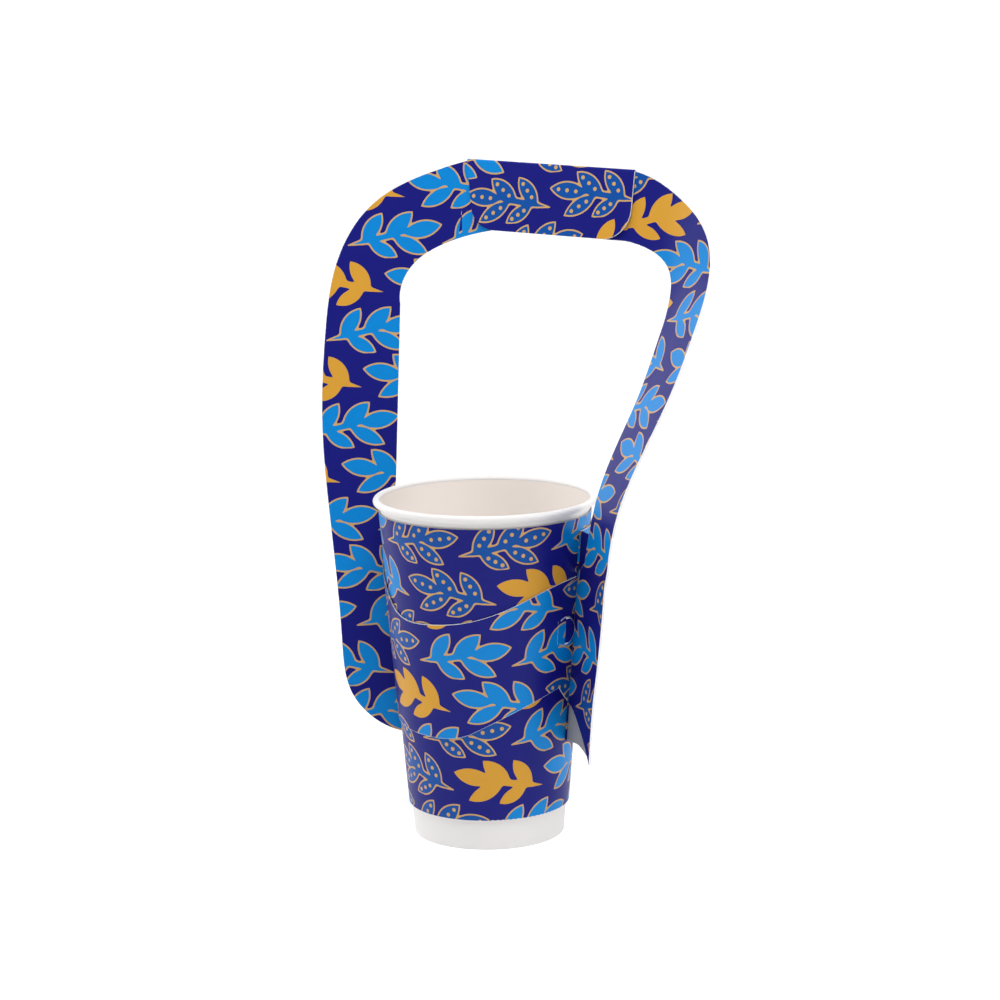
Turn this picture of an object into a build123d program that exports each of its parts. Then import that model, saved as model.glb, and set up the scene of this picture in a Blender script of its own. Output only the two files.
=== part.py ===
from build123d import *
from math import cos, radians, sin
import os

# A paper cup hanging in a folded card carrier. The carrier is one printed blank, folded double:
# two layers pressed together make the handle ring and its side fins, and they part round the
# cup, the front layer as a slanting strap and the rear layer as a taller panel.
# Millimetres and degrees. The origin is the centre of the cup's base; the front is -Y.

# Card and clearances
card = 0.5
cup_clearance = 0.2
flap_gap = 0.3
seam = 0.05

# Cup: inner wall with its rolled rim, recessed bottom, and outer wall round an air gap
cup_height = 138.5
rim_radius = 45.0
roll_radius = 1.45
base_radius = 30.4
foot_press = 0.08
wall = 0.35
bottom_height = 7.0
bottom_thickness = 0.45
turned_in = 5.5
skirt_bottom = 12.7
skirt_top = 133.0
skirt_hem = 4.5
air_gap_low = 0.78
air_gap_high = 0.38

# Sleeve: the rear panel's edges and the creases, and the strap's edges as (across, height)
# seen along the strap's azimuth
rear_bottom = 41.5
rear_top = 127.5
right_crease_azimuth = -29.5
left_crease_azimuth = 139.5
strap_azimuth = -108.0
strap_reach = rim_radius + 2 * card
strap_upper = [(-strap_reach, 118.0), (-38.0, 107.5), (-33.9, 101.5), (-28.8, 95.8), (-11.5, 93.3),
               (3.9, 95.2), (24.3, 102.4), (37.6, 108.6), (40.7, 109.4)]
strap_slit = (38.6, 106.4)
slit_mouth = 0.6
strap_lower_left = [(-strap_reach, 51.0), (-29.0, 47.6), (-15.0, 46.5), (-2.0, 47.2)]
strap_lower_kink = (4.5, 49.2)
strap_lower_peak = (34.6, 64.9)
strap_lower_end = (36.4, 57.0)

# Tab left standing in the strap's plane beside the right crease
tab_azimuth = -43.0
tab_middle = 88.0
tab_half_height = 4.7
tab_length = 8.6
tab_root = 1.5
tab_cut = 0.4

# Leaning sheet of the left arm and the top band, as (across, up) in the sheet's plane
lean = 11.86
sheet_depth = 0.5
curl_start = -33.0
curl_length = 30.0
curl_angle = 29.0
arm_outer = [(-35.1, 40.0), (-49.6, 47.8), (-55.3, 55.1), (-59.5, 77.8), (-64.5, 135.4), (-66.4, 164.1),
             (-64.6, 205.0), (-60.0, 231.4), (-45.3, 255.7), (-20.5, 269.0)]
arm_inner = [(6.5, 243.7), (-0.4, 243.0), (-16.9, 238.7), (-27.2, 232.2), (-32.6, 224.0), (-33.6, 215.0)]
arm_inner_foot = [(-36.3, 143.0), (-35.9, 136.0), (-32.5, 131.0)]
sheet_root = -25.0

# Flap of the rear layer, folded forward over the top band
flap_middle = (37.3, 268.5)
flap_slant = -7.6
flap_half_width = 38.4
flap_depth = 27.6
flap_left_foot = -32.0
flap_right_foot = 39.0
flap_corner = 12.0
flap_open = 1.5
fold_seat = 0.1

# Right arm: the blank's flat outline from the band's end down, as (along the flap's fold, up).
# Each row is a bend line: its outer end, its inner end, and how far the card turns up to the next.
arm_bends = [
    ((39.5, -0.8), (37.0, -28.5), 0.5),
    ((50.0, -4.5), (49.0, -31.5), 6.5),
    ((60.5, -10.5), (57.5, -37.5), 12.0),
    ((70.0, -17.0), (60.5, -44.5), 11.0),
    ((78.5, -24.5), (61.0, -51.5), 7.5),
    ((85.5, -33.5), (61.0, -57.5), 4.0),
    ((90.0, -46.0), (60.5, -63.5), 2.0),
    ((90.5, -64.0), (60.0, -75.5), 1.5),
    ((89.5, -87.0), (59.5, -91.5), 5.0),
    ((86.0, -112.5), (57.5, -115.5), -4.0),
    ((80.5, -137.5), (56.5, -136.0), -16.0),
    ((75.5, -161.5), (52.5, -159.0), -9.0),
]
bends_a_row = 4

# Right fin, as (distance from the crease, height)
fin_heading = -71.0
fin_top = 110.5
fin_width = 28.9
fin_root = 4.0
fin_fold = [(28.7, 96.0), (27.4, 78.0), (25.6, 62.0), (25.4, 50.0), (26.0, 37.6)]
fin_front_edge = [(18.2, 45.6), (10.7, 51.6), (3.4, 56.0), (0.0, 57.0)]
fin_rear_edge = [(24.4, 39.1), (19.5, 41.1), (11.3, 42.5), (5.4, 41.9), (0.0, rear_bottom)]

# Cup walls worked out from the sizes above; radii are outer ones, carried down to height 0
foot_slot = bottom_thickness + 2 * seam
foot_fold = (foot_slot + 2 * wall) / 2
foot_middle = foot_fold - foot_press
roll_middle = cup_height - roll_radius
wall_slope = (rim_radius - 2 * roll_radius + wall - base_radius) / (roll_middle - foot_middle)
wall_foot = base_radius - wall_slope * foot_middle
skirt_slope = wall_slope + (air_gap_high - air_gap_low) / (skirt_top - skirt_bottom)
skirt_foot = wall_foot + air_gap_low + wall + (wall_slope - skirt_slope) * skirt_bottom
sleeve_foot = skirt_foot + cup_clearance + card

# Leaning sheet, band and flap
layers = 2 * card
fold_inner = (card + flap_gap) / 2
fold_outer = fold_inner + card
reach = 3 * rim_radius
side = Vector(1, 0, 0)
up_sheet = Vector(0, sin(radians(lean)), cos(radians(lean)))
front_sheet = Vector(0, -cos(radians(lean)), sin(radians(lean)))
sheet_origin = Vector(0, sheet_depth, 0)
sheet_plane = Plane(sheet_origin, x_dir=side, z_dir=front_sheet)
curl_radius = curl_length / radians(curl_angle)
band_heading = side * cos(radians(curl_angle)) + front_sheet * sin(radians(curl_angle))
band_front = front_sheet * cos(radians(curl_angle)) - side * sin(radians(curl_angle))
band_start = (
    sheet_origin
    + side * (curl_start + curl_radius * sin(radians(curl_angle)))
    + front_sheet * (curl_radius * (1 - cos(radians(curl_angle))))
)
ring_plane = Plane(
    band_start + band_heading * flap_middle[0] + up_sheet * flap_middle[1],
    x_dir=band_heading * cos(radians(flap_slant)) + up_sheet * sin(radians(flap_slant)),
    z_dir=band_front,
)
band_top_start = sheet_plane.to_local_coords(
    ring_plane.from_local_coords((-flap_half_width, fold_seat - fold_outer))
)
band_top_end = sheet_plane.to_local_coords(ring_plane.from_local_coords(arm_bends[0][0]))
band_low_end = sheet_plane.to_local_coords(ring_plane.from_local_coords(arm_bends[0][1]))


def around(azimuth):
    """Horizontal unit vector at an azimuth."""
    return Vector(cos(radians(azimuth)), sin(radians(azimuth)), 0)


def on_crease(azimuth, height):
    """Point of the sleeve's outer face at an azimuth and a height."""
    return around(azimuth) * (sleeve_foot + skirt_slope * height) + Vector(0, 0, height)


# Right fin and creases
crease_foot = on_crease(right_crease_azimuth, 0)
crease_line = on_crease(right_crease_azimuth, 1) - crease_foot
fin_across = around(fin_heading)
crease_lean = crease_line.dot(fin_across)
fin_up = crease_line - fin_across * crease_lean
fin_plane = Plane(crease_foot, x_dir=fin_across, z_dir=fin_across.cross(fin_up))
fin_top_crease = on_crease(right_crease_azimuth, fin_top)
parting = on_crease(left_crease_azimuth, rear_top) - fin_top_crease
parting_plane = Plane(crease_foot, x_dir=crease_line, z_dir=crease_line.cross(parting))


def wall_outline(foot, slope, low, high, thickness):
    """Corners of a conical wall's section; the outer radius at height 0 is the foot."""
    return (
        (foot + slope * low - thickness, low),
        (foot + slope * low, low),
        (foot + slope * high, high),
        (foot + slope * high - thickness, high),
    )


def hem(radius, low, outer_fold, inner_fold):
    """Adds the half-ring section of a wall's turned-in lower edge to the open sketch."""
    with Locations((radius - outer_fold, low + outer_fold)):
        Circle(outer_fold)
        Circle(inner_fold, mode=Mode.SUBTRACT)
        Rectangle(2 * outer_fold, outer_fold, align=(Align.CENTER, Align.MIN), mode=Mode.SUBTRACT)


def sleeve_room():
    """Space inside the middle of the sleeve's wall, where every sheet that joins it ends."""
    foot = sleeve_foot - card / 2
    head = foot + skirt_slope * skirt_top
    with BuildPart() as room:
        with BuildSketch(Plane.XZ):
            Polygon((0, 0), (foot, 0), (head, skirt_top), (0, skirt_top), align=None)
        revolve(axis=Axis.Z)
    return room.part


def beside_strap(edge, limit):
    """Space in front of the sheet and the crease, from one edge of the strap to a height."""
    behind = around(strap_azimuth) * -sleeve_foot
    aim = Plane(behind, x_dir=around(strap_azimuth + 90), z_dir=around(strap_azimuth))
    with BuildPart() as space:
        with BuildSketch(aim):
            with BuildLine():
                add(edge)
                start, end = edge.position_at(0), edge.position_at(1)
                Polyline(end, (end.X, limit), (start.X, limit), start)
            make_face()
        extrude(amount=reach)
        split(bisect_by=sheet_plane.offset(-card), keep=Keep.TOP)
        split(bisect_by=parting_plane, keep=Keep.TOP)
    return space.part


def tab_outline(grow):
    """Round edge of the tab beside the crease, grown by a margin, from its top to its foot."""
    edge = tab_half_height + grow
    return ThreePointArc((0, edge), (tab_length + grow, 0), (0, -edge))


def sleeve():
    """Wall round the cup: a tall panel at the back and a slanting strap with its tab in front."""
    with BuildLine(mode=Mode.PRIVATE) as upper:
        top = Spline(*strap_upper)
        Polyline(
            top @ 1,
            strap_slit,
            (strap_upper[-1][0] + slit_mouth, strap_upper[-1][1] - slit_mouth),
            (strap_reach, strap_upper[-1][1] - slit_mouth),
        )
    with BuildLine(mode=Mode.PRIVATE) as lower:
        left = Spline(*strap_lower_left, strap_lower_kink)
        Polyline(left @ 1, strap_lower_peak, strap_lower_end, (strap_reach, strap_lower_end[1]))
    tab_out = around(tab_azimuth) - Vector(0, 0, skirt_slope)
    tab_plane = Plane(
        on_crease(tab_azimuth, tab_middle), x_dir=around(tab_azimuth + 90), z_dir=tab_out
    )
    with BuildPart() as shell:
        with BuildSketch(Plane.XZ):
            Polygon(*wall_outline(sleeve_foot, skirt_slope, rear_bottom, rear_top, card), align=None)
        revolve(axis=Axis.Z)
        add(beside_strap(upper.wire(), skirt_top), mode=Mode.SUBTRACT)
        add(beside_strap(lower.wire(), 0), mode=Mode.SUBTRACT)
        with BuildSketch(tab_plane):
            with BuildLine():
                cut = tab_outline(tab_cut)
                Line(cut @ 1, cut @ 0)
            make_face()
        extrude(amount=tab_length / 2, both=True, mode=Mode.SUBTRACT)
        with BuildSketch(tab_plane):
            with BuildLine():
                edge = tab_outline(0)
                Polyline(edge @ 1, (-tab_root, -tab_half_height), (-tab_root, tab_half_height), edge @ 0)
            make_face()
        extrude(amount=-card)
    return shell.part


def curl_line(depth):
    """Line of the sheet's section at a depth behind its front face: flat, curled, flat again."""
    flat = Line((-reach, depth), (curl_start, depth))
    curl = JernArc(flat @ 1, flat % 1, curl_radius + depth, -curl_angle)
    band = PolarLine(curl @ 1, reach, direction=curl % 1)
    return flat @ 0, band @ 1


def leaning_sheet():
    """Left fin, left arm and top band: flat, then curled towards the front, in two layers."""
    with BuildPart() as sheet:
        with BuildSketch(Plane(sheet_origin, x_dir=side, z_dir=up_sheet)):
            with BuildLine():
                front_start, front_end = curl_line(0)
                rear_start, rear_end = curl_line(layers)
                Line(front_start, rear_start)
                Line(front_end, rear_end)
            make_face()
        extrude(amount=3 * reach)
        with BuildSketch(sheet_plane):
            with BuildLine():
                outer = Spline(*arm_outer, (band_top_start.X, band_top_start.Y))
                inner = Spline(*arm_inner)
                foot = Spline(*arm_inner_foot)
                top_end = (band_top_end.X, band_top_end.Y)
                low_end = (band_low_end.X, band_low_end.Y)
                Polyline(outer @ 1, top_end, low_end, inner @ 0)
                Line(inner @ 1, foot @ 0)
                Polyline(foot @ 1, (sheet_root, (foot @ 1).Y), (sheet_root, (outer @ 0).Y), outer @ 0)
            make_face()
        extrude(amount=2 * reach, both=True, mode=Mode.INTERSECT)
        add(sleeve_room(), mode=Mode.SUBTRACT)
    return sheet.part


def bend_ends(points):
    """Ends of the bend lines along one edge of the flat arm, evenly between its given points."""
    edge = Spline(*points)
    marks = [edge.param_at_point(Vector(*point)) for point in points]
    shares = [step / bends_a_row for step in range(bends_a_row)]
    ends = [edge @ (low + (high - low) * share) for low, high in zip(marks, marks[1:]) for share in shares]
    return ends + [edge @ 1]


def bend_turns(turns):
    """Turn at each bend line, changing evenly from one given turn to the next."""
    shares = [step / bends_a_row for step in range(bends_a_row)]
    spread = [low + (high - low) * share for low, high in zip(turns, turns[1:]) for share in shares]
    return [turn / bends_a_row for turn in spread + turns[-1:]]


def arm_bend_lines():
    """Outer end, inner end and front direction of each bend line of the right arm."""
    outer_points, inner_points, turns = zip(*arm_bends)
    ends = zip(bend_ends(outer_points), bend_ends(inner_points), bend_turns(list(turns)))
    facet = ring_plane
    lines = []
    for outer, inner, turn in ends:
        outer_end = facet.from_local_coords(outer)
        inner_end = facet.from_local_coords(inner)
        bend = Axis(outer_end, inner_end - outer_end)
        front = facet.z_dir
        facet = Plane(
            outer_end + (facet.origin - outer_end).rotate(bend, turn),
            x_dir=facet.x_dir.rotate(bend, turn),
            z_dir=front.rotate(bend, turn),
        )
        lines.append((outer_end, inner_end, front + facet.z_dir))
    return lines


def arm_section(outer_end, inner_end, front):
    """Section of the two pressed layers between two edge points, behind their front face."""
    across = outer_end - inner_end
    place = Plane((outer_end + inner_end) * 0.5, x_dir=across, z_dir=across.cross(front))
    with BuildSketch(place) as section:
        Rectangle(across.length, layers, align=(Align.CENTER, Align.MAX))
    return section.sketch.face()


def right_arm(band_end):
    """Two pressed layers from the band's end round the ring's corner and down to the fin."""
    fin_end = arm_section(fin_top_crease + fin_across * fin_width, fin_top_crease, fin_plane.z_dir)
    with BuildPart() as arm:
        loft([band_end] + [arm_section(*line) for line in arm_bend_lines()[1:]] + [fin_end], ruled=True)
    return arm.part


def web():
    """Rear layer above the fin, between the panel's right end and the arm's inner edge."""
    inner_ends = [line[1] for line in arm_bend_lines()]
    above = [point for point in inner_ends if point.Z > rear_top][-1]
    below = inner_ends[inner_ends.index(above) + 1]
    arm_corner = below + (above - below) * ((rear_top - below.Z) / (above.Z - below.Z))
    across = (arm_corner - on_crease(right_crease_azimuth, rear_top)).normalized()
    front = across.cross(crease_line).normalized()
    place = Plane(fin_top_crease - front * (layers - card / 2), x_dir=across, z_dir=front)
    into_wall = on_crease(right_crease_azimuth, rear_top) - across * layers
    corners = [fin_top_crease - across * layers, inner_ends[-1], arm_corner + across * card, into_wall]
    with BuildPart() as plate:
        with BuildSketch(place):
            with BuildLine():
                Polyline(*[tuple(place.to_local_coords(corner))[:2] for corner in corners], close=True)
            make_face()
        extrude(amount=card / 2, both=True)
        add(sleeve_room(), mode=Mode.SUBTRACT)
    return plate.part


def fin_point(distance, height):
    """Place in the fin's plane of a point given by its distance from the crease and its height."""
    return (distance + height * crease_lean, height * fin_up.length)


def fin_layer(lower_edge, depth, thickness):
    """Flat piece of the right fin, behind the fin's front face by a depth."""
    with BuildPart() as layer:
        with BuildSketch(fin_plane.offset(-depth)):
            with BuildLine():
                outer = Spline(*[fin_point(*point) for point in [(fin_width, fin_top)] + fin_fold])
                lower = Spline(*[fin_point(*point) for point in [fin_fold[-1]] + lower_edge])
                Polyline(
                    lower @ 1,
                    fin_point(-fin_root, lower_edge[-1][1]),
                    fin_point(-fin_root, fin_top),
                    outer @ 0,
                )
            make_face()
        extrude(amount=-thickness)
        add(sleeve_room(), mode=Mode.SUBTRACT)
    return layer.part


def flap():
    """Flap of the rear layer, folded forward over the band's top edge and down its front."""
    hinge = Axis(ring_plane.from_local_coords((0, -fold_outer, flap_gap - fold_inner)), ring_plane.x_dir)
    front = ring_plane.z_dir.rotate(hinge, -flap_open)
    face_plane = Plane(hinge.position + front * fold_inner, x_dir=ring_plane.x_dir, z_dir=front)
    fold_plane = Plane(
        hinge.position - ring_plane.x_dir * flap_half_width, x_dir=ring_plane.y_dir, z_dir=ring_plane.x_dir
    )
    with BuildPart() as panel:
        with BuildSketch(face_plane) as outline:
            Polygon(
                (-flap_half_width, 0),
                (flap_left_foot, -flap_depth),
                (flap_right_foot, -flap_depth),
                (flap_half_width, 0),
                align=None,
            )
            fillet(outline.vertices().group_by(Axis.Y)[0], flap_corner)
        extrude(amount=card)
        with BuildSketch(fold_plane):
            Circle(fold_outer)
            Circle(fold_inner, mode=Mode.SUBTRACT)
            Rectangle(fold_outer, 2 * fold_outer, align=(Align.MAX, Align.CENTER), mode=Mode.SUBTRACT)
        extrude(amount=2 * flap_half_width)
    return panel.part


with BuildPart() as cup_body:
    with BuildSketch(Plane.XZ):
        hem(base_radius, -foot_press, foot_fold, foot_slot / 2)
        Rectangle(rim_radius, foot_press, align=(Align.MIN, Align.MAX), mode=Mode.SUBTRACT)
        Polygon(*wall_outline(wall_foot, wall_slope, foot_middle, roll_middle, wall), align=None)
        inner_leg = wall_foot - wall - foot_slot
        Polygon(*wall_outline(inner_leg, wall_slope, foot_middle, turned_in, wall), align=None)
        with Locations((rim_radius - roll_radius, roll_middle)):
            Circle(roll_radius)
            Circle(roll_radius - wall, mode=Mode.SUBTRACT)
    revolve(axis=Axis.Z)
cup_body.part.label = "cup_body"

with BuildPart() as cup_bottom:
    with BuildSketch(Plane.XZ):
        flange_foot = wall_foot - wall - seam
        flange_low = foot_middle + seam
        disc_top = bottom_height + bottom_thickness
        disc_radius = flange_foot + wall_slope * bottom_height
        Polygon(*wall_outline(flange_foot, wall_slope, flange_low, disc_top, bottom_thickness), align=None)
        with Locations((0, bottom_height)):
            Rectangle(disc_radius, bottom_thickness, align=Align.MIN)
    revolve(axis=Axis.Z)
cup_bottom.part.label = "cup_bottom"

with BuildPart() as cup_skirt:
    with BuildSketch(Plane.XZ):
        hem_fold = wall + seam / 2
        hem_low = skirt_bottom + hem_fold
        hem_leg = skirt_foot - wall - seam
        hem(skirt_foot + skirt_slope * hem_low, skirt_bottom, hem_fold, seam / 2)
        Polygon(*wall_outline(skirt_foot, skirt_slope, hem_low, skirt_top, wall), align=None)
        Polygon(*wall_outline(hem_leg, skirt_slope, hem_low, skirt_bottom + skirt_hem, wall), align=None)
    revolve(axis=Axis.Z)
cup_skirt.part.label = "cup_skirt"

with BuildPart() as carrier:
    sheet = leaning_sheet()
    add(sheet)
    add(sleeve())
    add(fin_layer(fin_front_edge, 0, layers))
    add(fin_layer(fin_rear_edge, card, card))
    add(right_arm(sheet.faces().sort_by(Axis(band_start, band_heading))[-1]))
    add(web())
    add(flap())
carrier.part.label = "carrier"

os.makedirs("parts", exist_ok=True)
export_step(cup_body.part, "parts/cup_body.step")
export_step(cup_bottom.part, "parts/cup_bottom.step")
export_step(cup_skirt.part, "parts/cup_skirt.step")
export_step(carrier.part, "parts/carrier.step")
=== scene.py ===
import math
from types import SimpleNamespace

import bpy
from mathutils import Matrix, Vector

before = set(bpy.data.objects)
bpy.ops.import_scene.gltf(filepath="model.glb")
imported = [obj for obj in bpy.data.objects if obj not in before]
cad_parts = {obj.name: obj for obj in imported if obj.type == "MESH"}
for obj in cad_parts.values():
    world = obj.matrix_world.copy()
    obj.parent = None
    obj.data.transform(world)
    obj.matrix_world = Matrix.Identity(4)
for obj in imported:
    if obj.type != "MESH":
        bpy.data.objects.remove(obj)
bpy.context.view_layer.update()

SIDE, BACK, UP = Vector((1, 0, 0)), Vector((0, 1, 0)), Vector((0, 0, 1))
MILLIMETRES = 1000.0

# Camera: lens and sensor in millimetres, place in metres, angles in degrees
LENS, SENSOR_WIDTH = 108.2, 36.0
EYE = Vector((0.0, -1.1832, 0.3639))
PITCH, YAW, ROLL = 10.88, 0.29, 0.75

# Leaning sheet and its curl, in millimetres and radians, as in the CAD model
CARD = 0.5
LAYERS = 2 * CARD
LEAN = math.radians(11.86)
SHEET_ORIGIN = Vector((0, 0.5, 0))
CURL_START, CURL_LENGTH = -33.0, 30.0
CURL_ANGLE = math.radians(29.0)
CURL_RADIUS = CURL_LENGTH / CURL_ANGLE
SEAM_HALF_WIDTH = 0.06

# Flap: the middle of its fold along and up the band, its size, and how far its area goes past it
FLAP_MIDDLE = (37.3, 268.5)
FLAP_SLANT = math.radians(-7.6)
FLAP_HALF_WIDTH, FLAP_DEPTH = 38.4, 31.0
FLAP_LEFT_MARGIN, FLAP_RIGHT_MARGIN = 0.6, 1.2
FLAP_GAP = 0.15
FOLD_HEIGHT, FOLD_BEHIND = 0.9, 0.1
FOLD_MIDDLE_RADIUS = 0.65

# Sleeve round the cup: radius at the foot, slope, and how far its area reaches in and out
SLEEVE_FOOT, SKIRT_FOOT = 32.224, 31.524
CONE_SLOPE = 0.08495
SLEEVE_IN, SLEEVE_OUT = 0.8, 0.12
SKIRT_IN = 0.2
REAR_TOP, REAR_TOP_MARGIN = 127.5, 0.3
# Its distances from a pressed sheet where it leaves that sheet, and where its own end is folded
SLEEVE_ROOT = (-1.6, 0.8)
SLEEVE_FOLD = (-2.0, 1.5)
CREASE_REACH = 0.9

# Tab beside the right fin
TAB_AZIMUTH = math.radians(-43.0)
TAB_MIDDLE, TAB_HALF_HEIGHT, TAB_LENGTH = 88.0, 4.7, 8.6
TAB_MARGIN, TAB_END_MARGIN = 0.2, 0.3
TAB_OUT, TAB_OFF_FIN = 1.2, 0.1

# Right fin, and the web above it, which ends on two lines of height, reach there and slope
CREASE_AZIMUTH = math.radians(-29.5)
FIN_HEADING = math.radians(-71.0)
FIN_TOP, FACE_MARGIN = 110.5, 0.2
WEB_ACROSS = Vector((0.371, -0.929, 0))
WEB_ENDS = ((116.4, 40.7, 0.095), (FIN_TOP, 32.5, 1.39))
WEB_MARGIN, WEB_TOP_MARGIN = 0.1, 0.5

# Right arm: where it begins on the band, and the corner and directions of its own print
ARM_START, ARM_START_SLANT = 39.5, 0.09
ARM_SIDE = 28.0
ARM_CORNER = Vector((80.2, -16.8, 226.5))
ARM_ACROSS, ARM_UP = Vector((0.361, -0.932, -0.02)), Vector((0.335, 0.149, 0.93))
ARM_PRINT_TOP, ARM_PRINT_EASE, EASE_ROUNDING = 246.0, 40.0, 0.2
# Line inside the ring that the arm's cut edges face away from, upper end and slant below it
RING_LINE_END = Vector((50.0, 12.0, 180.0))
RING_LINE_SLANT = 0.42

# Share of a surface's facing that tells a face from an edge
FACING = 0.5
ARM_EDGE_FACING = 0.55
FOLD_END_FACING = 0.6

# Print, in millimetres: one sprig a cell, in rows that each start a little further along
CELL_LENGTH, CELL_HEIGHT = 39.0, 19.5
ROW_SHIFT = 0.38
# Foot, tip and width of a sprig's stalk, then of its leaves
LEAVES = [
    ((-19.0, -4.2), (7.0, 1.6), 2.8),
    ((-13.5, -3.2), (-5.5, 8.6), 6.4),
    ((-11.0, -3.0), (0.5, -9.2), 5.6),
    ((-4.0, -1.4), (7.0, 9.0), 6.8),
    ((-1.0, -1.0), (13.0, -8.0), 6.0),
    ((3.0, 0.4), (19.2, 3.4), 7.0),
]
LEAF_MELT = 1.8
OUTLINE_HALF_WIDTH = 0.32
DOT_RADIUS = 0.8
DOT_PLACES = (0.3, 0.54, 0.78)
# Kinds of sprig: the last is gold, and odd ones before it are dotted
KINDS, KIND_STEP_ALONG, KIND_STEP_UP = 7.0, 3.0, 2.0
# How far the print is moved along and up each area
SHEET_SHIFT = (CELL_LENGTH, 0.0)
FLAP_SHIFT = (13.0, 8.0)
SLEEVE_SHIFT = (9.0, 6.0)
SKIRT_SHIFT = (-CELL_LENGTH, 0.0)

# Paper: widths in millimetres, scales in bumps a millimetre
EDGE_LINE, EDGE_CONTRAST = 0.35, 12.0
PATCH_SCALE, PATCH_SPREAD = 0.05, 0.10
RIPPLE_SCALE = 0.06
GRAIN_SCALE, GRAIN_HEIGHT = 3.0, 0.006
FIBRE_SCALE, FIBRE_SHARE = 1.2, 0.06
LINING_TOP = 137.0
BODY_LINING_RADIUS, BOTTOM_LINING_RADIUS = 29.0, 40.0

# Colours, linear
NAVY = (0.005, 0.0065, 0.165, 1)
SKY_BLUE = (0.0, 0.20, 0.56, 1)
MID_BLUE = (0.002, 0.066, 0.30, 1)
GOLD = (0.58, 0.29, 0.032, 1)
TAN = (0.52, 0.31, 0.115, 1)
CUT_EDGE = (0.80, 0.80, 0.82, 1)
GLUE_LINE = (0.30, 0.30, 0.36, 1)
BARE_CARD = (0.33, 0.325, 0.33, 1)
CUP_WHITE = (0.74, 0.72, 0.71, 1)
CUP_INSIDE = (0.91, 0.85, 0.80, 1)
FIBRE_GREY = (0.62, 0.62, 0.63, 1)
FLOOR_GREY = (0.55, 0.55, 0.55, 1)
LIGHT_WHITE = (1, 1, 1, 1)

# Lamps: place, height aimed at and width in metres, then watts
LAMPS = {
    "left": ((-1.3, 0.2, 0.65), 0.12, 0.8, 6),
    "right": ((1.25, -0.42, 0.7), 0.12, 0.8, 5),
    "back": ((-1.1, 1.0, 0.5), 0.15, 1.1, 3),
    "top": ((0.0, -0.45, 1.6), 0.1, 1.2, 26),
}
FLOOR_GLOW = 0.6
AIR_LIGHT, AIR_SEEN = 0.27, 1.1

# Directions and places that follow from these
UP_SHEET = Vector((0, math.sin(LEAN), math.cos(LEAN)))
FRONT_SHEET = Vector((0, -math.cos(LEAN), math.sin(LEAN)))
BAND_HEADING = SIDE * math.cos(CURL_ANGLE) + FRONT_SHEET * math.sin(CURL_ANGLE)
BAND_FRONT = FRONT_SHEET * math.cos(CURL_ANGLE) - SIDE * math.sin(CURL_ANGLE)
BAND_START = (
    SHEET_ORIGIN
    + SIDE * (CURL_START + CURL_RADIUS * math.sin(CURL_ANGLE))
    + FRONT_SHEET * (CURL_RADIUS * (1 - math.cos(CURL_ANGLE)))
)
FOLD_ORIGIN = BAND_START + BAND_HEADING * FLAP_MIDDLE[0] + UP_SHEET * FLAP_MIDDLE[1]
FOLD_ALONG = BAND_HEADING * math.cos(FLAP_SLANT) + UP_SHEET * math.sin(FLAP_SLANT)
FOLD_UP = BAND_FRONT.cross(FOLD_ALONG)
CREASE = Vector((math.cos(CREASE_AZIMUTH), math.sin(CREASE_AZIMUTH), 0))
CREASE_RISE = CREASE * CONE_SLOPE + UP
FIN_ACROSS = Vector((math.cos(FIN_HEADING), math.sin(FIN_HEADING), 0))
FIN_UP = CREASE_RISE - FIN_ACROSS * CREASE_RISE.dot(FIN_ACROSS)
FIN_FRONT = FIN_ACROSS.cross(FIN_UP).normalized()
TAB_SIDE = Vector((-math.sin(TAB_AZIMUTH), math.cos(TAB_AZIMUTH), 0))


class Field:
    """A number that varies over a surface, worked out by shader nodes."""

    def __init__(self, tree, socket):
        self.tree, self.socket = tree, socket

    def __add__(self, other):
        return number("ADD", self, other)

    def __sub__(self, other):
        return number("SUBTRACT", self, other)

    def __rsub__(self, other):
        return number("SUBTRACT", other, self)

    def __mul__(self, other):
        return number("MULTIPLY", self, other)

    def __truediv__(self, other):
        return number("DIVIDE", self, other)

    def __gt__(self, other):
        return number("GREATER_THAN", self, other)

    def __lt__(self, other):
        return number("LESS_THAN", self, other)

    def __and__(self, other):
        return number("MULTIPLY", self, other)

    def __or__(self, other):
        return number("MAXIMUM", self, other)

    def __invert__(self):
        return number("SUBTRACT", 1, self)

    def __abs__(self):
        return number("ABSOLUTE", self)


class Arrow:
    """A vector that varies over a surface."""

    def __init__(self, tree, socket):
        self.tree, self.socket = tree, socket

    def along(self, direction):
        """Its reach along a fixed direction or another arrow."""
        return Field(self.tree, vector_node(self, "DOT_PRODUCT", direction).outputs["Value"])

    def distance(self, point):
        """How far it ends from a fixed point."""
        return Field(self.tree, vector_node(self, "DISTANCE", point).outputs["Value"])

    def minus(self, point):
        """The arrow from a fixed point or another arrow's end to its end."""
        return Arrow(self.tree, vector_node(self, "SUBTRACT", point).outputs["Vector"])

    def unit(self):
        """The same direction, one long."""
        return Arrow(self.tree, vector_node(self, "NORMALIZE").outputs["Vector"])


def number(operation, *terms):
    """Math node over fields and plain numbers."""
    tree = next(term.tree for term in terms if isinstance(term, Field))
    node = tree.nodes.new("ShaderNodeMath")
    node.operation = operation
    for socket, term in zip(node.inputs, terms):
        if isinstance(term, Field):
            tree.links.new(term.socket, socket)
        else:
            socket.default_value = term
    return Field(tree, node.outputs[0])


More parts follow.
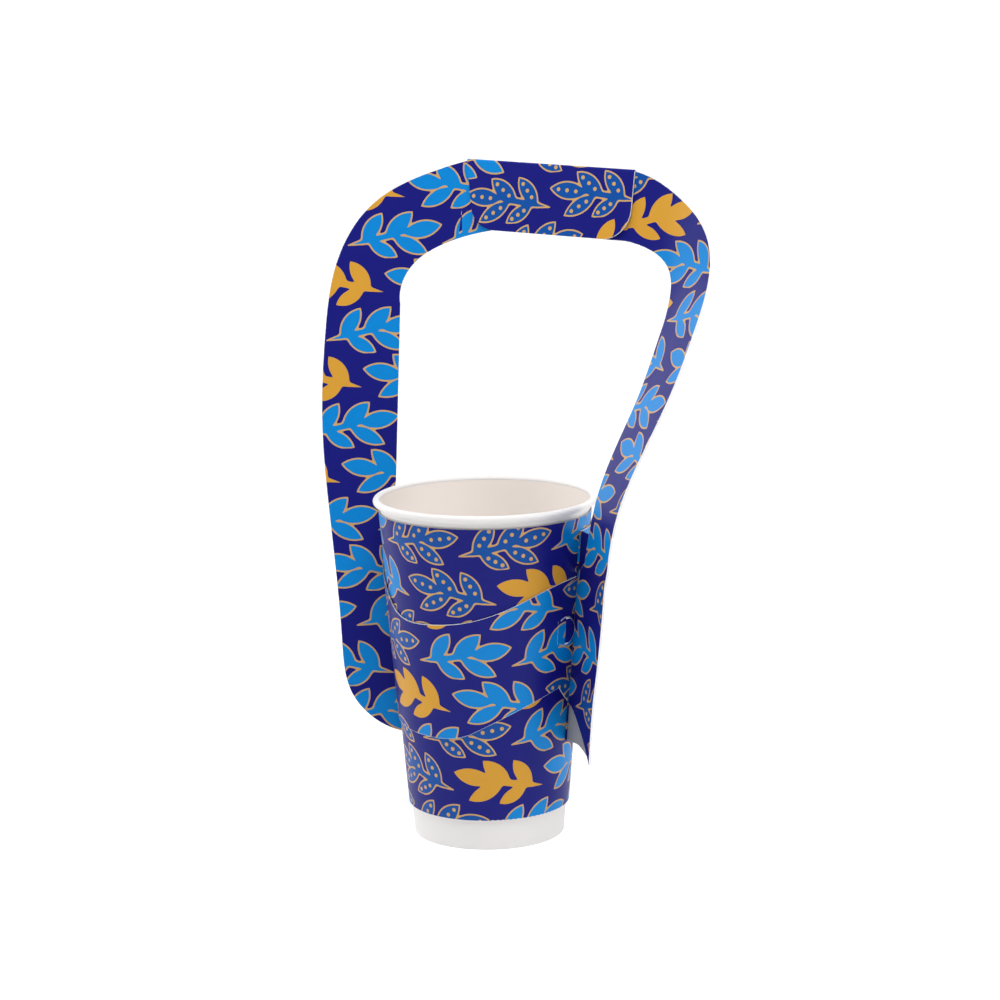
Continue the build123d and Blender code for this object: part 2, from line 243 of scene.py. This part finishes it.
def vector_node(arrow, operation, other=None):
    """Vector Math node of an arrow with a fixed vector or another arrow."""
    node = arrow.tree.nodes.new("ShaderNodeVectorMath")
    node.operation = operation
    arrow.tree.links.new(arrow.socket, node.inputs[0])
    if isinstance(other, Arrow):
        arrow.tree.links.new(other.socket, node.inputs[1])
    elif other is not None:
        node.inputs[1].default_value = other
    return node


def arrow_of(x, y, z=0.0):
    """Arrow with the given fields or numbers as its parts."""
    tree = next(part.tree for part in (x, y, z) if isinstance(part, Field))
    node = tree.nodes.new("ShaderNodeCombineXYZ")
    for socket, part in zip(node.inputs, (x, y, z)):
        if isinstance(part, Field):
            tree.links.new(part.socket, socket)
        else:
            socket.default_value = part
    return Arrow(tree, node.outputs[0])


def place_on(tree):
    """Place on the object in millimetres, along the frame's axes."""
    node = tree.nodes.new("ShaderNodeTexCoord")
    scale = tree.nodes.new("ShaderNodeVectorMath")
    scale.operation = "SCALE"
    scale.inputs["Scale"].default_value = MILLIMETRES
    tree.links.new(node.outputs["Object"], scale.inputs[0])
    return Arrow(tree, scale.outputs["Vector"])


def facing_of(tree):
    """Direction that the surface faces."""
    return Arrow(tree, tree.nodes.new("ShaderNodeNewGeometry").outputs["True Normal"])


def near_edge(tree, width):
    """1 at a sharp edge, falling to 0 at a width in millimetres from it."""
    node = tree.nodes.new("ShaderNodeBevel")
    node.inputs["Radius"].default_value = width / MILLIMETRES
    facing = Arrow(tree, tree.nodes.new("ShaderNodeNewGeometry").outputs["Normal"])
    rounded = Arrow(tree, node.outputs["Normal"]).along(facing)
    return number("MINIMUM", (1.0 - rounded) * EDGE_CONTRAST, 1.0)


def between(value, low, high):
    """1 where a field lies between two limits."""
    return (value > low) & (value < high)


def choose(where, yes, no):
    """One field or number where a mask is 1, another where it is 0."""
    return where * (yes - no) + no


def mixed(tree, where, over, under):
    """Colour socket: one colour laid over another by a mask."""
    node = tree.nodes.new("ShaderNodeMix")
    node.data_type = "RGBA"
    tree.links.new(where.socket, node.inputs[0])
    for socket, colour in ((node.inputs[6], under), (node.inputs[7], over)):
        if isinstance(colour, tuple):
            socket.default_value = colour
        else:
            tree.links.new(colour, socket)
    return node.outputs[2]


def noise(tree, place, scale, detail):
    """Noise between 0 and 1; the scale is in bumps a millimetre."""
    node = tree.nodes.new("ShaderNodeTexNoise")
    node.inputs["Scale"].default_value = scale
    node.inputs["Detail"].default_value = detail
    tree.links.new(place.socket, node.inputs["Vector"])
    return Field(tree, node.outputs["Fac"])


def leaf(cell, foot, tip, width):
    """Distance outside a leaf, which two equal circles share, from its foot to its tip."""
    foot, tip = Vector((*foot, 0)), Vector((*tip, 0))
    half = (tip - foot).length / 2
    radius = (half**2 + (width / 2) ** 2) / width
    aside = (tip - foot).normalized().cross(UP) * (radius - width / 2)
    middle = (foot + tip) / 2
    return number("MAXIMUM", cell.distance(middle + aside), cell.distance(middle - aside)) - radius


def sprig(cell):
    """Distance outside a sprig of leaves that grow into each other."""
    blades = [leaf(cell, *blade) for blade in LEAVES]
    whole = blades[0]
    for blade in blades[1:]:
        whole = number("SMOOTH_MIN", whole, blade, LEAF_MELT)
    return whole


def dots(cell):
    """Distance from the nearest of the dots along the middles of the leaves."""
    middles = [
        Vector((*foot, 0)).lerp(Vector((*tip, 0)), share)
        for foot, tip, _ in LEAVES[1:]
        for share in DOT_PLACES
    ]
    nearest = cell.distance(middles[0])
    for middle in middles[1:]:
        nearest = number("MINIMUM", nearest, cell.distance(middle))
    return nearest


def printed(tree, along, up):
    """Colour socket of the print at a place on the flat card, in millimetres."""
    row = number("FLOOR", up / CELL_HEIGHT)
    steps = along / CELL_LENGTH + row * ROW_SHIFT
    column = number("FLOOR", steps)
    turn = number("FLOORED_MODULO", row, 2.0) * -2.0 + 1.0
    cell = arrow_of(
        (steps - column - 0.5) * turn * CELL_LENGTH,
        (up / CELL_HEIGHT - row - 0.5) * CELL_HEIGHT,
    )
    edge = sprig(cell)
    kind = number("FLOORED_MODULO", column * KIND_STEP_ALONG + row * KIND_STEP_UP, KINDS)
    gold = kind > KINDS - 1.5
    dotted = number("FLOORED_MODULO", kind, 2.0) > 0.5
    inside = edge < 0.0
    body = mixed(tree, dotted, MID_BLUE, SKY_BLUE)
    body = mixed(tree, dotted & (dots(cell) < DOT_RADIUS), TAN, body)
    body = mixed(tree, gold, GOLD, body)
    line = (abs(edge) < OUTLINE_HALF_WIDTH) & ~gold
    return mixed(tree, line, TAN, mixed(tree, inside, body, NAVY))


def about_axis(place, facing):
    """Distance from the cup's axis, and how far the surface faces away from that axis."""
    x, y = place.along(SIDE), place.along(BACK)
    radius = number("SQRT", x * x + y * y)
    return radius, (facing.along(SIDE) * x + facing.along(BACK) * y) / radius


def outside_cone(place, radius, foot):
    """Distance outside a cone of the cup's slope, from its radius at the foot."""
    return radius - (place.along(UP) * CONE_SLOPE + foot)


def unrolled(place):
    """Place on the flat blank of the cup's cone, along it and up it, with the seam at the back."""
    turned = math.sin(math.atan(CONE_SLOPE))
    azimuth = number("ARCTAN2", place.along(SIDE), place.along(-BACK)) * turned
    apex = SLEEVE_FOOT / turned
    ray = place.along(UP * (CONE_SLOPE / turned)) + apex
    return number("SINE", azimuth) * ray, number("COSINE", azimuth) * ray - apex


def new_material(name):
    """Empty material with its tree and shader."""
    material = bpy.data.materials.new(name)
    material.use_nodes = True
    tree = material.node_tree
    return material, tree, tree.nodes["Principled BSDF"]


def coat(tree, shader, place, roughness, ripple, specular):
    """Faint ripples, paper grain and uneven gloss of a coated sheet."""
    patches = noise(tree, place, PATCH_SCALE, 2.0) * PATCH_SPREAD
    tree.links.new((patches + (roughness - PATCH_SPREAD / 2)).socket, shader.inputs["Roughness"])
    shader.inputs["Specular IOR Level"].default_value = specular
    ripples = noise(tree, place, RIPPLE_SCALE, 1.0) * ripple
    grain = noise(tree, place, GRAIN_SCALE, 3.0) * GRAIN_HEIGHT
    bump = tree.nodes.new("ShaderNodeBump")
    bump.inputs["Strength"].default_value = 1.0
    bump.inputs["Distance"].default_value = 1 / MILLIMETRES
    tree.links.new((ripples + grain).socket, bump.inputs["Height"])
    tree.links.new(bump.outputs["Normal"], shader.inputs["Normal"])


def sheet_parts(place, facing):
    """Leaning sheet: flat, curled, and flat again as the band."""
    from_sheet = place.minus(SHEET_ORIGIN)
    across = from_sheet.along(SIDE) - CURL_START
    to_centre = CURL_RADIUS - from_sheet.along(FRONT_SHEET)
    angle = number("MAXIMUM", number("ARCTAN2", across, to_centre), 0.0)
    angle = number("MINIMUM", angle, CURL_ANGLE)
    cosine, sine = number("COSINE", angle), number("SINE", angle)
    front = facing.along(FRONT_SHEET) * cosine - facing.along(SIDE) * sine
    return SimpleNamespace(
        depth=across * sine + to_centre * cosine - CURL_RADIUS,
        along=angle * CURL_RADIUS + across * cosine - to_centre * sine,
        up=from_sheet.along(UP_SHEET),
        edge=abs(front) < FACING,
    )


def sleeve_parts(place, facing):
    """Sleeve and its tab: printed on the side away from the cup."""
    height = place.along(UP)
    radius, outward = about_axis(place, facing)
    outside = outside_cone(place, radius, SLEEVE_FOOT)
    before_fin = place.minus(CREASE * SLEEVE_FOOT).along(FIN_FRONT)
    by_tab = (
        (abs(height - TAB_MIDDLE) < TAB_HALF_HEIGHT + TAB_MARGIN)
        & between(place.along(TAB_SIDE), 0.0, TAB_LENGTH + TAB_END_MARGIN)
        & (before_fin > TAB_OFF_FIN)
    )
    on_cone = between(outside, -SLEEVE_IN, by_tab * TAB_OUT + SLEEVE_OUT)
    folded = between(before_fin, *SLEEVE_FOLD) & (abs(facing.along(UP)) < FACING)
    return SimpleNamespace(
        on=on_cone & (height < REAR_TOP + REAR_TOP_MARGIN),
        outside=outside,
        before_fin=before_fin,
        by_tab=by_tab,
        edge=(abs(outward) < FACING) & ~folded,
        bare=outward < -FACING,
        tab_face=by_tab & (outside > SLEEVE_OUT),
    )


def flap_parts(place, facing):
    """Flap: folded forward over the band's top edge, printed on the outside."""
    from_fold = place.minus(FOLD_ORIGIN)
    along, up = from_fold.along(FOLD_ALONG), from_fold.along(FOLD_UP)
    front, face = from_fold.along(BAND_FRONT), facing.along(BAND_FRONT)
    left, right = FLAP_HALF_WIDTH + FLAP_LEFT_MARGIN, FLAP_HALF_WIDTH + FLAP_RIGHT_MARGIN
    around = between(along, -left, right) & (up > -FLAP_DEPTH)
    in_fold = around & (up > -FOLD_HEIGHT)
    from_hinge = arrow_of(up + FOLD_HEIGHT, front + FOLD_BEHIND).distance((0, 0, 0))
    fold_end = abs(facing.along(FOLD_ALONG)) > FOLD_END_FACING
    outer = choose(in_fold, (from_hinge > FOLD_MIDDLE_RADIUS) & ~fold_end, face > FACING)
    edge = choose(in_fold, fold_end, abs(face) < FACING)
    return SimpleNamespace(
        on=around & ((front > FLAP_GAP) | in_fold),
        along=along,
        up=up,
        edge=edge,
        bare=~outer & ~edge,
        crease=in_fold & ~fold_end,
    )


def arm_parts(place, facing, sleeve, flap):
    """Right arm, with its fin, bare where it is one layer, and its web, which carries painted
    shade.
    """
    height = place.along(UP)
    below_end = number("MINIMUM", height - RING_LINE_END.z, 0.0)
    ring_line = arrow_of(
        below_end * RING_LINE_SLANT + RING_LINE_END.x,
        RING_LINE_END.y,
        number("MINIMUM", height, RING_LINE_END.z),
    )
    edgewise = abs(place.minus(ring_line).unit().along(facing))
    on_fin = height < FIN_TOP
    fin_facing = facing.along(FIN_FRONT)
    single = on_fin & between(sleeve.before_fin, FACE_MARGIN - LAYERS, -FACE_MARGIN)
    web_ends = [(height - level) * slope + reach for level, reach, slope in WEB_ENDS]
    web_reach = number("MINIMUM", *web_ends) - WEB_MARGIN
    on_web = between(height, FIN_TOP, REAR_TOP + WEB_TOP_MARGIN)
    on_web = on_web & (place.along(WEB_ACROSS) < web_reach)
    on_arm = flap.along - flap.up * ARM_START_SLANT > ARM_START
    on_arm = on_arm & ~flap.on & ~sleeve.on & (place.along(SIDE) > ARM_SIDE)
    fin_edge = (abs(fin_facing) < FACING) & on_fin
    return SimpleNamespace(
        on=on_arm,
        web=on_arm & on_web,
        # No cut edge is marked on the web, so its painted shade stays dark
        edge=choose(on_fin | on_web, fin_edge, edgewise > ARM_EDGE_FACING),
        bare=on_arm & single & (fin_facing > FACING),
    )


def print_place(place, sheet, flap, arm, sleeve):
    """Place on the flat card, along it and up it: the arm's print runs on from the band's."""
    from_corner = place.minus(ARM_CORNER)
    corner_along = CURL_LENGTH + (ARM_CORNER - BAND_START).dot(BAND_HEADING)
    corner_up = (ARM_CORNER - SHEET_ORIGIN).dot(UP_SHEET)
    ease = (ARM_PRINT_TOP - place.along(UP)) / ARM_PRINT_EASE
    ease = number("SMOOTH_MIN", ease, 1.0, EASE_ROUNDING)
    ease = number("SMOOTH_MAX", ease, 0.0, EASE_ROUNDING) & arm.on
    along = choose(ease, from_corner.along(ARM_ACROSS) + corner_along, sheet.along)
    up = choose(ease, from_corner.along(ARM_UP) + corner_up, sheet.up)
    places = zip((along, up), unrolled(place), SHEET_SHIFT, FLAP_SHIFT, SLEEVE_SHIFT)
    return [
        choose(sleeve.on, cone + by_sleeve, flat + flap.on * by_flap + by_sheet)
        for flat, cone, by_sheet, by_flap, by_sleeve in places
    ]


def card_material():
    """Folded card: printed outside, bare inside, white where it is cut."""
    material, tree, shader = new_material("printed_card")
    place, facing = place_on(tree), facing_of(tree)
    sheet, sleeve, flap = (part(place, facing) for part in (sheet_parts, sleeve_parts, flap_parts))
    arm = arm_parts(place, facing, sleeve, flap)

    edge = choose(arm.on, arm.edge, sheet.edge)
    edge = choose(flap.on, flap.edge, edge)
    edge = choose(sleeve.on, sleeve.edge, edge)
    bare = choose(flap.on, flap.bare, arm.bare)
    bare = choose(sleeve.on, sleeve.bare, bare)
    seam = edge & ~sleeve.on & ~flap.on & ~arm.on & (abs(sheet.depth - CARD) < SEAM_HALF_WIDTH)

    # Folds and inner corners are creased, so no light line of wear runs along them
    by_root = between(sleeve.before_fin, *SLEEVE_ROOT) | between(sheet.depth, *SLEEVE_ROOT)
    creased = choose(sleeve.on, by_root & ~sleeve.by_tab, sleeve.outside < CREASE_REACH)
    # No light line is drawn on the web, so its painted shade stays dark
    worn = near_edge(tree, EDGE_LINE) & ~(creased | flap.crease | arm.web)

    # Painted shade: the web is plain dark navy so that the crevice between the cup and the right
    # arm reads dark; the outer part of the tab is plain
    colour = printed(tree, *print_place(place, sheet, flap, arm, sleeve))
    colour = mixed(tree, arm.web | sleeve.tab_face, NAVY, colour)
    colour = mixed(tree, bare, BARE_CARD, colour)
    colour = mixed(tree, edge | worn, CUT_EDGE, colour)
    colour = mixed(tree, seam, GLUE_LINE, colour)
    tree.links.new(colour, shader.inputs["Base Color"])
    coat(tree, shader, place, roughness=0.42, ripple=0.25, specular=0.15)
    return material


def cup_print_material():
    """Outer wall of the cup: the same print, bare at its edges."""
    material, tree, shader = new_material("cup_print")
    place, facing = place_on(tree), facing_of(tree)
    radius, outward = about_axis(place, facing)
    on_print = (outward > FACING) & (outside_cone(place, radius, SKIRT_FOOT) > -SKIRT_IN)
    along, up = (part + shift for part, shift in zip(unrolled(place), SKIRT_SHIFT))
    colour = mixed(tree, on_print, printed(tree, along, up), CUP_WHITE)
    tree.links.new(colour, shader.inputs["Base Color"])
    coat(tree, shader, place, roughness=0.42, ripple=0.12, specular=0.15)
    return material


def cup_paper_material(name, lining_radius):
    """White cup stock, lined with a warmer film inside and within a radius."""
    material, tree, shader = new_material(name)
    place, facing = place_on(tree), facing_of(tree)
    radius, outward = about_axis(place, facing)
    lined = ((outward < -FACING) & (place.along(UP) < LINING_TOP)) | (radius < lining_radius)
    fibres = noise(tree, place, FIBRE_SCALE, 4.0) * FIBRE_SHARE
    colour = mixed(tree, lined, CUP_INSIDE, CUP_WHITE)
    colour = mixed(tree, fibres, FIBRE_GREY, colour)
    tree.links.new(colour, shader.inputs["Base Color"])
    coat(tree, shader, place, roughness=0.45, ripple=0.05, specular=0.3)
    return material


def floor_material():
    """Pale studio paper, lit a little from inside so that it stays white."""
    material, _, shader = new_material("floor")
    shader.inputs["Base Color"].default_value = FLOOR_GREY
    shader.inputs["Roughness"].default_value = 0.7
    shader.inputs["Specular IOR Level"].default_value = 0.1
    shader.inputs["Emission Color"].default_value = LIGHT_WHITE
    shader.inputs["Emission Strength"].default_value = FLOOR_GLOW
    return material


def dress(node, material):
    """Gives a node of the frame its material."""
    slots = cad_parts[node].material_slots
    for slot in slots:
        slot.material = material
    if not slots:
        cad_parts[node].data.materials.append(material)


def area_light(name, place, aim_height, size, watts):
    """Soft square light that faces a height on the cup's axis."""
    data = bpy.data.lights.new(name, "AREA")
    data.size = size
    data.energy = watts
    lamp = bpy.data.objects.new(name, data)
    lamp.location = place
    ahead = UP * aim_height - Vector(place)
    lamp.rotation_euler = ahead.to_track_quat("-Z", "Y").to_euler()
    bpy.context.scene.collection.objects.link(lamp)


def camera():
    """Camera at the photograph's angle, rolled a little."""
    data = bpy.data.cameras.new("camera")
    data.lens = LENS
    data.sensor_width = SENSOR_WIDTH
    eye = bpy.data.objects.new("camera", data)
    pitch, yaw, roll = (math.radians(angle) for angle in (PITCH, YAW, ROLL))
    level = SIDE * math.sin(yaw) + BACK * math.cos(yaw)
    ahead = level * math.cos(pitch) - UP * math.sin(pitch)
    turn = ahead.to_track_quat("-Z", "Y").to_matrix() @ Matrix.Rotation(-roll, 3, "Z")
    eye.matrix_world = Matrix.Translation(EYE) @ turn.to_4x4()
    bpy.context.scene.collection.objects.link(eye)
    bpy.context.scene.camera = eye


def floor():
    """Plain pale floor that curves up behind the object."""
    mesh = bpy.data.meshes.new("floor")
    reach, back, rise, steps = 3.0, 1.2, 0.6, 12
    angles = [math.pi / 2 * step / steps for step in range(steps + 1)]
    profile = [(-reach, 0.0)]
    profile += [(back + rise * math.sin(angle), rise * (1 - math.cos(angle))) for angle in angles]
    profile += [(back + rise, reach)]
    mesh.from_pydata(
        [(x, y, z) for x in (-reach, reach) for y, z in profile],
        [],
        [(i, i + 1, len(profile) + i + 1, len(profile) + i) for i in range(len(profile) - 1)],
    )
    for face in mesh.polygons:
        face.use_smooth = True
    mesh.materials.append(floor_material())
    piece = bpy.data.objects.new("floor", mesh)
    bpy.context.scene.collection.objects.link(piece)


def studio_air():
    """Soft light from all round, seen as white behind the floor."""
    world = bpy.data.worlds.new("studio")
    world.use_nodes = True
    tree = world.node_tree
    seen = Field(tree, tree.nodes.new("ShaderNodeLightPath").outputs["Is Camera Ray"])
    background = tree.nodes["Background"]
    background.inputs["Color"].default_value = LIGHT_WHITE
    tree.links.new(choose(seen, AIR_SEEN, AIR_LIGHT).socket, background.inputs["Strength"])
    bpy.context.scene.world = world


dress("carrier", card_material())
dress("cup_skirt", cup_print_material())
dress("cup_body", cup_paper_material("cup_paper", BODY_LINING_RADIUS))
dress("cup_bottom", cup_paper_material("bottom_paper", BOTTOM_LINING_RADIUS))
floor()
camera()
for lamp_name, settings in LAMPS.items():
    area_light(lamp_name, *settings)
studio_air()
bpy.context.scene.view_settings.view_transform = "Standard"
